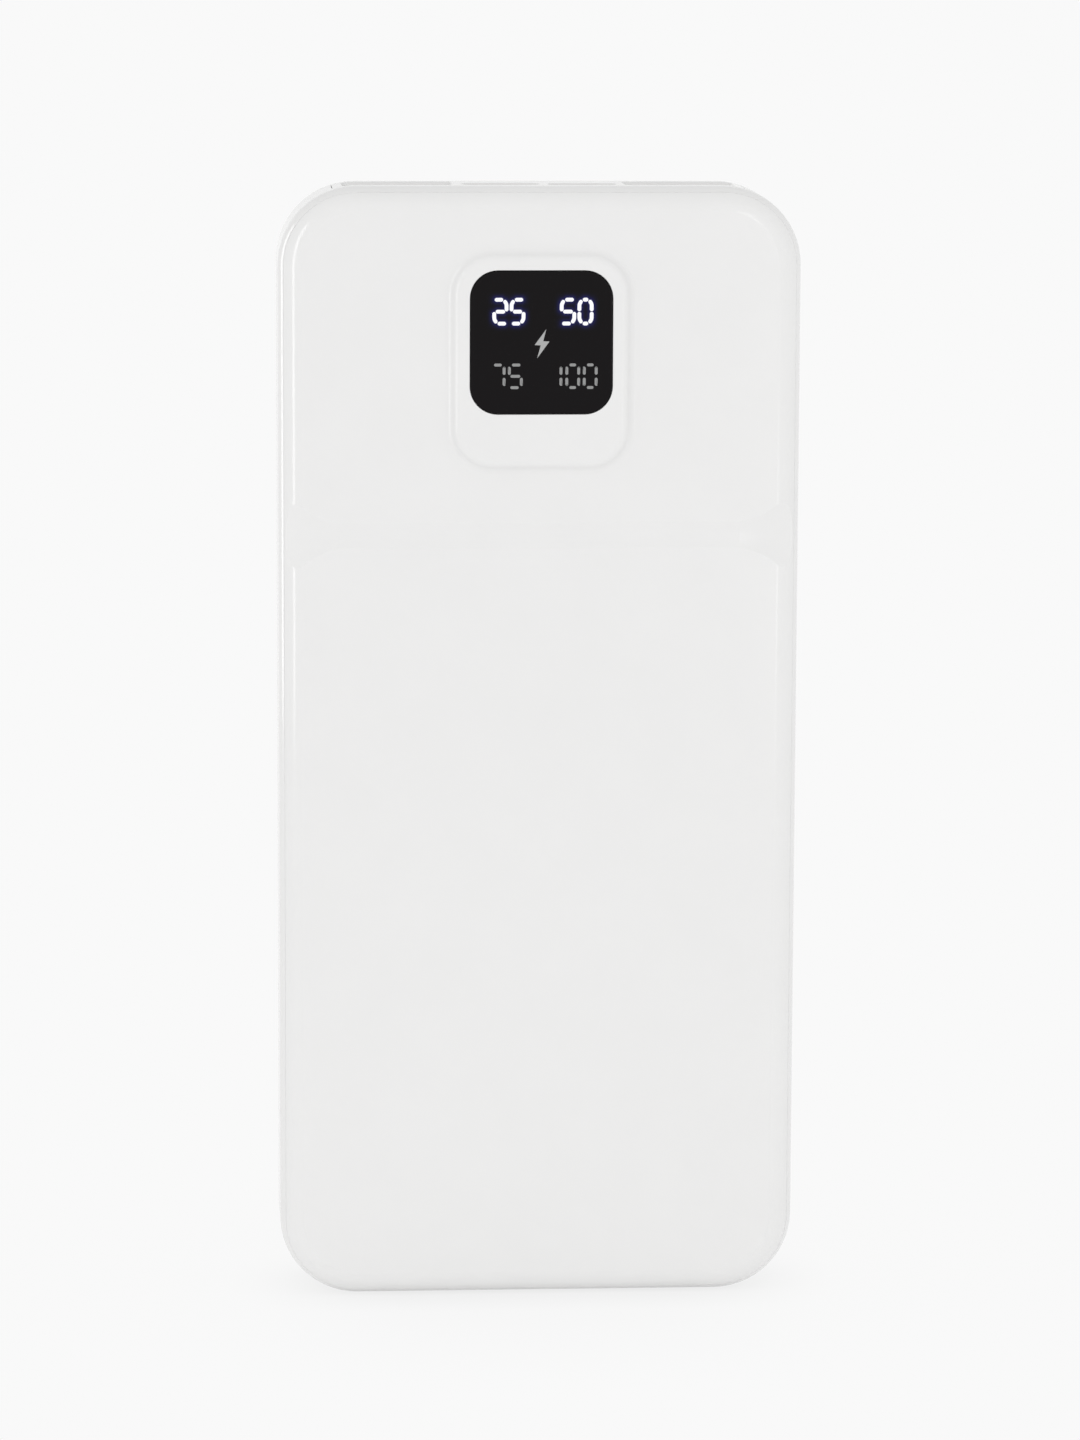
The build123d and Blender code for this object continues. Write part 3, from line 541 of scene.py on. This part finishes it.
def halo_piece(name, outlines, finish):
    """A thin sheet on the window that carries the lamp light scattered round a lit number."""
    xs = [p.x for outline in outlines for p in outline]
    zs = [p.y for outline in outlines for p in outline]
    low = Vector((min(xs) - HALO_MARGIN, min(zs) - HALO_MARGIN))
    size = Vector((max(xs) + HALO_MARGIN, max(zs) + HALO_MARGIN)) - low
    columns = math.ceil(size.x / HALO_STEP)
    rows = math.ceil(size.y / HALO_STEP)
    shape = bmesh.new()
    grid = []
    glow = []
    for row in range(rows + 1):
        line = []
        for column in range(columns + 1):
            point = low + Vector((size.x * column / columns, size.y * row / rows))
            apart = min(distance_to_outline(point, outline) for outline in outlines)
            rim = min(column, row, columns - column, rows - row) * HALO_STEP
            fade = min(1.0, rim / HALO_FADE)
            glow.append(math.exp(-apart / HALO_REACH) * fade)
            line.append(shape.verts.new(window_place(point, HALO_Y)))
        grid.append(line)
    for lower, upper in zip(grid, grid[1:]):
        for column in range(columns):
            shape.faces.new((lower[column], lower[column + 1], upper[column + 1], upper[column]))
    mesh = piece_on_window(name, shape, finish)
    halo = mesh.attributes.new("halo", "FLOAT", "POINT")
    halo.data.foreach_set("value", glow)


window_low, window_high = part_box("display_window")
WINDOW_X = (window_low[0] + window_high[0]) / 2
WINDOW_Z = (window_low[2] + window_high[2]) / 2
WINDOW_Y = window_low[1]
HALO_Y = WINDOW_Y - 0.006 * MM
SIGN_Y = WINDOW_Y - 0.012 * MM
SIGN_DEPTH = 0.01 * MM

# The halo's sizes are in mm: how far its sheet goes past the number, the side of its cells, how fast the
# light falls off, and over how wide a rim it fades out.
HALO_MARGIN = 0.9
HALO_STEP = 0.1
HALO_REACH = 0.22
HALO_FADE = 0.54

# The rows' heights, and each number's figures as (figure, middle x, width), are in mm from the window's
# middle. So are the bolt's corners.
LIT_RISE = 3.92
DIM_RISE = -4.27
NUMBER_25 = [("2", -5.22, 2.04), ("5", -3.05, 2.0)]
NUMBER_50 = [("5", 3.34, 2.08), ("0", 5.56, 2.04)]
NUMBER_75 = [("7", -5.42, 1.75), ("5", -3.3, 1.9)]
NUMBER_100 = [("1", 1.72, 1.9), ("0", 3.98, 1.88), ("0", 6.2, 1.88)]
BOLT = [(0.59, 1.68), (0.22, 0.17), (1.01, 0.14), (-0.54, -1.99), (-0.09, -0.35), (-0.87, -0.31)]
DIM_GREY = 0.30
BOLT_GREY = 0.42


def make_the_gauge():
    """The gauge at half charge: 25 and 50 lit, 75 and 100 dim, and the bolt between them."""
    lit_25 = number_outlines(NUMBER_25, LIT_RISE, LIT)
    lit_50 = number_outlines(NUMBER_50, LIT_RISE, LIT)
    dim = number_outlines(NUMBER_75 + NUMBER_100, DIM_RISE, DIM)
    bolt = [Vector(point) for point in BOLT]
    halo = blue_halo()
    halo_piece("halo_25", lit_25, halo)
    halo_piece("halo_50", lit_50, halo)
    thin_piece("lit_numbers", lit_25 + lit_50, lit_sign())
    thin_piece("dim_numbers", dim, dim_sign("dim_number", DIM_GREY))
    thin_piece("bolt_sign", [bolt], dim_sign("bolt_print", BOLT_GREY))


# ------------------------------------------------------------------ the stage
PALE = 0.947
PALE_COLOUR = (PALE, PALE, PALE)
BLACK = (0.0, 0.0, 0.0)
WHITE = (1.0, 1.0, 1.0)
FLOOR_HALF = 14.0
FLOOR_COLOUR = (0.9, 0.9, 0.9)
FLOOR_GLOW = 0.26
# How much of the floor's glow is left right beside the pack.
GLOW_LEFT = 0.6
# The shadow is two soft ones, each with a reach and a depth. The near one lies along the pack's edge. The
# far one looks for the pack along FAR_LEAN, so it falls mostly in front. Both fade to the sides, by up to
# BESIDE_FADE, between two distances from the pack's middle.
NEAR_REACH = 9 * MM
NEAR_DEPTH = 0.10
FAR_REACH = 50 * MM
FAR_DEPTH = 0.055
FAR_LEAN = (0.0, 0.6, 0.8)
BESIDE_FROM = 18 * MM
BESIDE_TO = 36 * MM
BESIDE_FADE = 0.6
# The world's light is SKY_LEVEL, and more by KEY_SHARE towards KEY_SIDE. SKY_MOST is above its highest.
KEY_SIDE = (-0.12, -0.70, -0.70)
KEY_SHARE = 0.45
SKY_LEVEL = 0.98
SKY_MOST = 1.6


def seen_directly(finish):
    """1 for rays from the camera, from gloss and through glass, and 0 for rays that light things."""
    path = finish.add("ShaderNodeLightPath")
    seen = path[CAMERA_RAY] + path[GLOSSY_RAY] + path[TRANSMISSION_RAY]
    return seen.math("MINIMUM", 1.0)


def pale_floor():
    """A floor seen as a plain pale grey, which keeps the soft shadow and lights the pack from below."""
    finish = Finish("pale_floor")
    samples = {"samples": 8}
    near = finish.add("ShaderNodeAmbientOcclusion", samples, {"Distance": NEAR_REACH})[OCCLUSION]
    leaning = {"Distance": FAR_REACH, "Normal": FAR_LEAN}
    far = finish.add("ShaderNodeAmbientOcclusion", samples, leaning)[OCCLUSION]
    place = finish.add("ShaderNodeTexCoord")[OBJECT_PLACE]
    across = finish.add("ShaderNodeSeparateXYZ", None, [place])[0].math("ABSOLUTE")
    beside = finish.ramp(across, BESIDE_FROM, BESIDE_TO)
    depth = (1.0 - near) * NEAR_DEPTH + (1.0 - far) * FAR_DEPTH
    level = 1.0 - depth * (1.0 - beside * BESIDE_FADE)
    colour = finish.mix(level, BLACK, PALE_COLOUR)
    seen = finish.add("ShaderNodeEmission", None, {"Color": colour, "Strength": 1.0})[0]
    pale = finish.add("ShaderNodeBsdfDiffuse", None, {"Color": FLOOR_COLOUR})[0]
    upward = finish.mix((near * (1.0 - GLOW_LEFT) + GLOW_LEFT) * far, BLACK, WHITE)
    glow = finish.add("ShaderNodeEmission", None, {"Color": upward, "Strength": FLOOR_GLOW})[0]
    lit = finish.add("ShaderNodeAddShader", None, [pale, glow])[0]
    mixed = finish.add("ShaderNodeMixShader", None, [seen_directly(finish), lit, seen])[0]
    finish.add("ShaderNodeOutputMaterial", None, {"Surface": mixed})
    return finish.owner


def make_the_floor():
    mesh = bpy.data.meshes.new("floor")
    half = FLOOR_HALF
    corners = [(-half, -half, 0), (half, -half, 0), (half, half, 0), (-half, half, 0)]
    mesh.from_pydata(corners, [], [(0, 1, 2, 3)])
    mesh.materials.append(pale_floor())
    floor = bpy.data.objects.new("floor", mesh)
    bpy.context.scene.collection.objects.link(floor)


def make_the_world():
    """Soft light from all round, stronger from low in front, and seen as a pale backdrop."""
    world = bpy.data.worlds.new("studio")
    bpy.context.scene.world = world
    finish = Finish("studio", world)
    direction = finish.add("ShaderNodeTexCoord")[GENERATED_PLACE]
    dot = {"operation": "DOT_PRODUCT"}
    towards = finish.add("ShaderNodeVectorMath", dot, [direction, KEY_SIDE])[1]
    level = towards * KEY_SHARE + SKY_LEVEL
    soft = finish.mix(level * (1.0 / SKY_MOST), BLACK, WHITE)
    lit = finish.add("ShaderNodeBackground", None, {"Color": soft, "Strength": SKY_MOST})[0]
    pale = finish.add("ShaderNodeBackground", None, {"Color": PALE_COLOUR, "Strength": 1.0})[0]
    sky = finish.add("ShaderNodeMixShader", None, [seen_directly(finish), lit, pale])[0]
    finish.add("ShaderNodeOutputWorld", None, {"Surface": sky})


LAMP_DISTANCE = 0.42


def strip_light(name, azimuth, width, low, high, strength):
    """A narrow upright lamp that only shows in the polish, from height low to high.

    Azimuth 0 is in front, and 90 is right.
    """
    lamp = bpy.data.lights.new(name, "AREA")
    lamp.shape = "RECTANGLE"
    lamp.size = width
    lamp.size_y = high - low
    lamp.energy = strength * math.pi * width * (high - low)
    side = math.radians(azimuth)
    holder = bpy.data.objects.new(name, lamp)
    outward = Vector((math.sin(side), -math.cos(side), 0.0))
    holder.location = outward * LAMP_DISTANCE + Vector((0, 0, (low + high) / 2))
    holder.rotation_mode = "QUATERNION"
    holder.rotation_quaternion = outward.to_track_quat("Z", "Y")
    holder.visible_diffuse = False
    holder.visible_camera = False
    bpy.context.scene.collection.objects.link(holder)


def make_the_lights():
    make_the_world()
    strip_light("front_left_strip", -43.0, 0.075, 0.015, 0.34, 3.6)
    strip_light("back_left_strip", -112.0, 0.05, 0.015, 0.34, 3.4)
    strip_light("front_right_strip", 14.0, 0.03, 0.0, 0.20, 2.5)


# ------------------------------------------------------------------ the camera
# The camera's place is measured from the front's own face, which the island stands proud of.
ISLAND_RISE = 0.8 * MM
CAMERA_LENS = 142.85
CAMERA_TURN = math.radians(3.83)
CAMERA_AWAY = 0.722
CAMERA_HEIGHT = 0.1887
CAMERA_HEADING = CAMERA_TURN + math.radians(0.005)
CAMERA_PITCH = math.radians(8.909)
CAMERA_ROLL = math.radians(0.24)


def make_the_camera():
    """In front, a little above and to the left, looking slightly down."""
    front = cad_low[1] + ISLAND_RISE
    camera = bpy.data.cameras.new("camera")
    camera.sensor_width = 36.0
    camera.lens = CAMERA_LENS
    camera.clip_start = 0.05
    camera.clip_end = 60.0
    holder = bpy.data.objects.new("camera", camera)
    left = CAMERA_AWAY * math.sin(CAMERA_TURN)
    back = CAMERA_AWAY * math.cos(CAMERA_TURN)
    holder.location = (-left, front - back, CAMERA_HEIGHT)
    level = math.cos(CAMERA_PITCH)
    gaze = Vector(
        (
            math.sin(CAMERA_HEADING) * level,
            math.cos(CAMERA_HEADING) * level,
            -math.sin(CAMERA_PITCH),
        )
    )
    roll = Quaternion((0, 0, 1), CAMERA_ROLL)
    holder.rotation_mode = "QUATERNION"
    holder.rotation_quaternion = gaze.to_track_quat("-Z", "Y") @ roll
    bpy.context.scene.collection.objects.link(holder)
    bpy.context.scene.camera = holder


make_the_camera()
finish_the_nodes()
make_the_gauge()
make_the_floor()
make_the_lights()
bpy.context.scene.view_settings.view_transform = "Standard"
